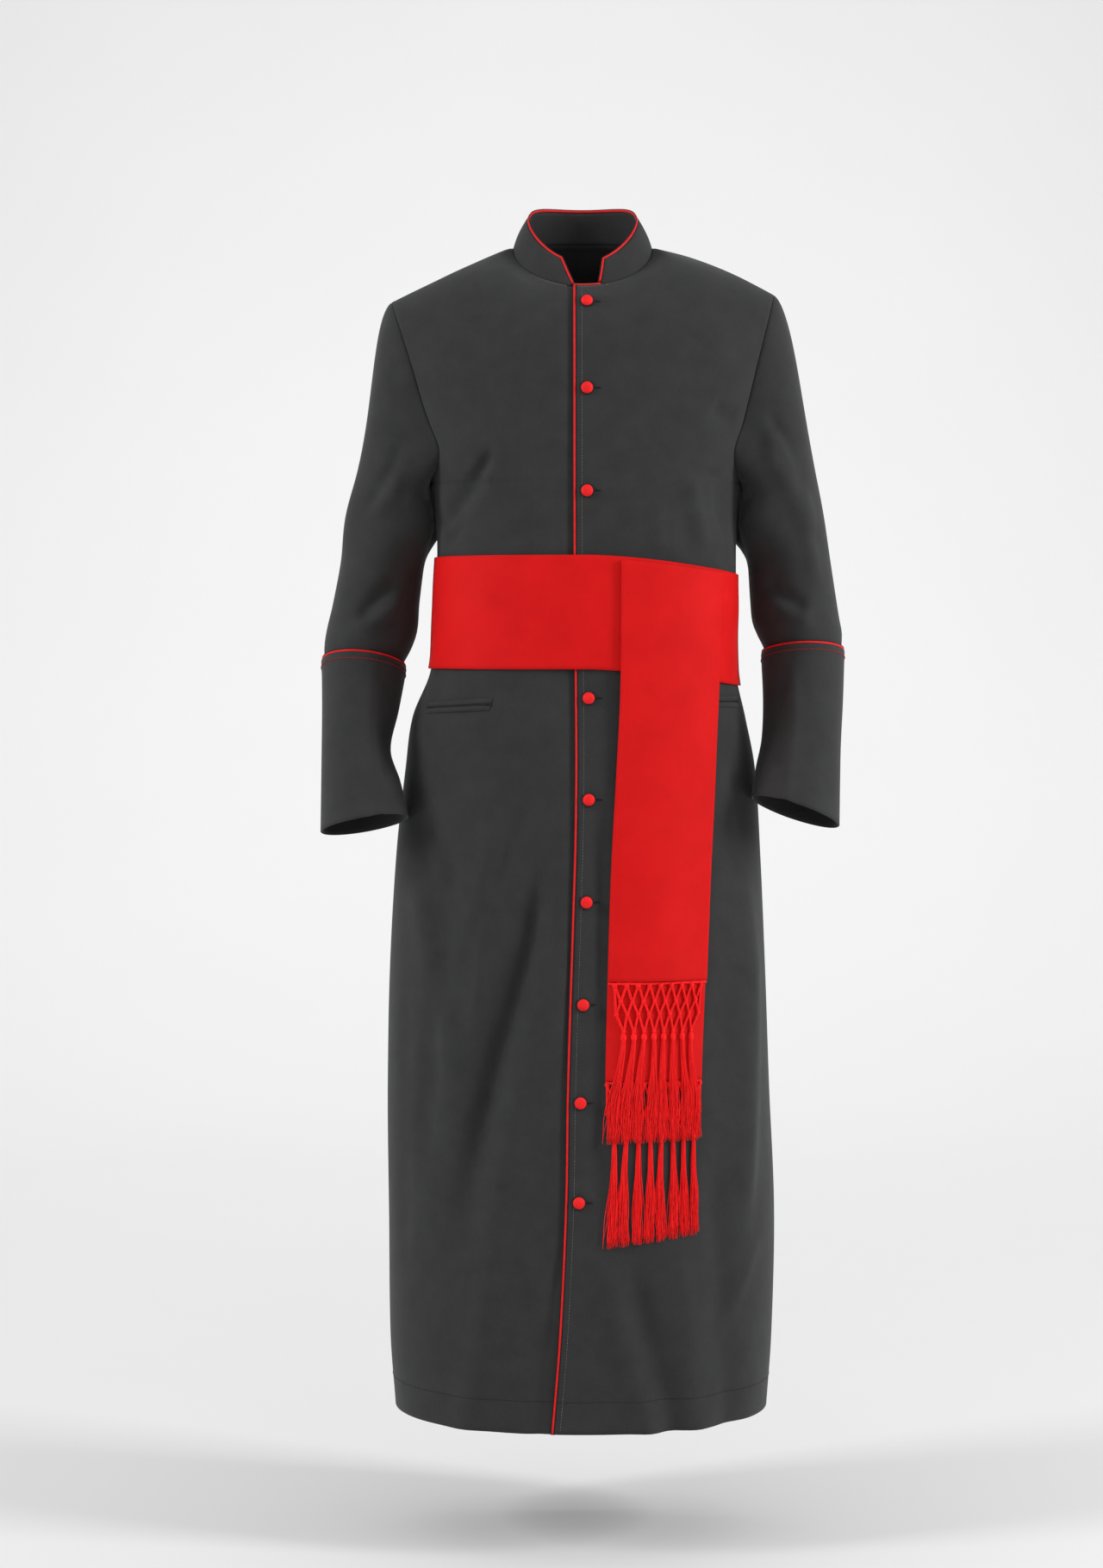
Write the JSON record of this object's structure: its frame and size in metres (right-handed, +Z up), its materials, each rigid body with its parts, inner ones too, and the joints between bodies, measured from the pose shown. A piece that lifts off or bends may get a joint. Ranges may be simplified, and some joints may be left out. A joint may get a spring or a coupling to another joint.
{
  "type": "clergy robe",
  "caption": "Floor-length cassock with a stand collar, piped buttoned front, deep cuffs and a fringed band cincture, in the hollow form it has when worn.",
  "frame": {"origin": "at the neck, midway between the two points where the shoulder seams meet the collar", "axes": "+Z up, the garment's front faces -Y and the wearer's left is +X"},
  "size_m": [0.627, 0.3658, 1.4384],
  "materials": {
    "cassock": "matt worsted cloth with a faint sheen",
    "piping": "red corded piping",
    "button": "cloth-covered, satin",
    "cincture": "red cloth with a soft satin sheen",
    "fringe": "knotted twisted silk-like yarn"
  },
  "bodies": {
    "root": {"right_front": "cassock", "left_front": "cassock", "back": "cassock", "sleeve_left": "cassock", "sleeve_right": "cassock", "cuff_left": "cassock", "cuff_right": "cassock", "collar": "cassock", "pocket_welt_left": "cassock", "pocket_welt_right": "cassock", "front_piping": "piping", "collar_piping": "piping", "cuff_piping_left": "piping", "cuff_piping_right": "piping", "button_1": "button", "button_2": "button", "button_3": "button", "button_4": "button", "button_5": "button", "button_6": "button", "button_7": "button", "button_8": "button", "button_9": "button", "cincture_band": "cincture", "cincture_back_fall": "cincture", "cincture_front_fall": "cincture", "cincture_back_fringe": "fringe", "cincture_front_fringe": "fringe"}
  },
  "joints": []
}
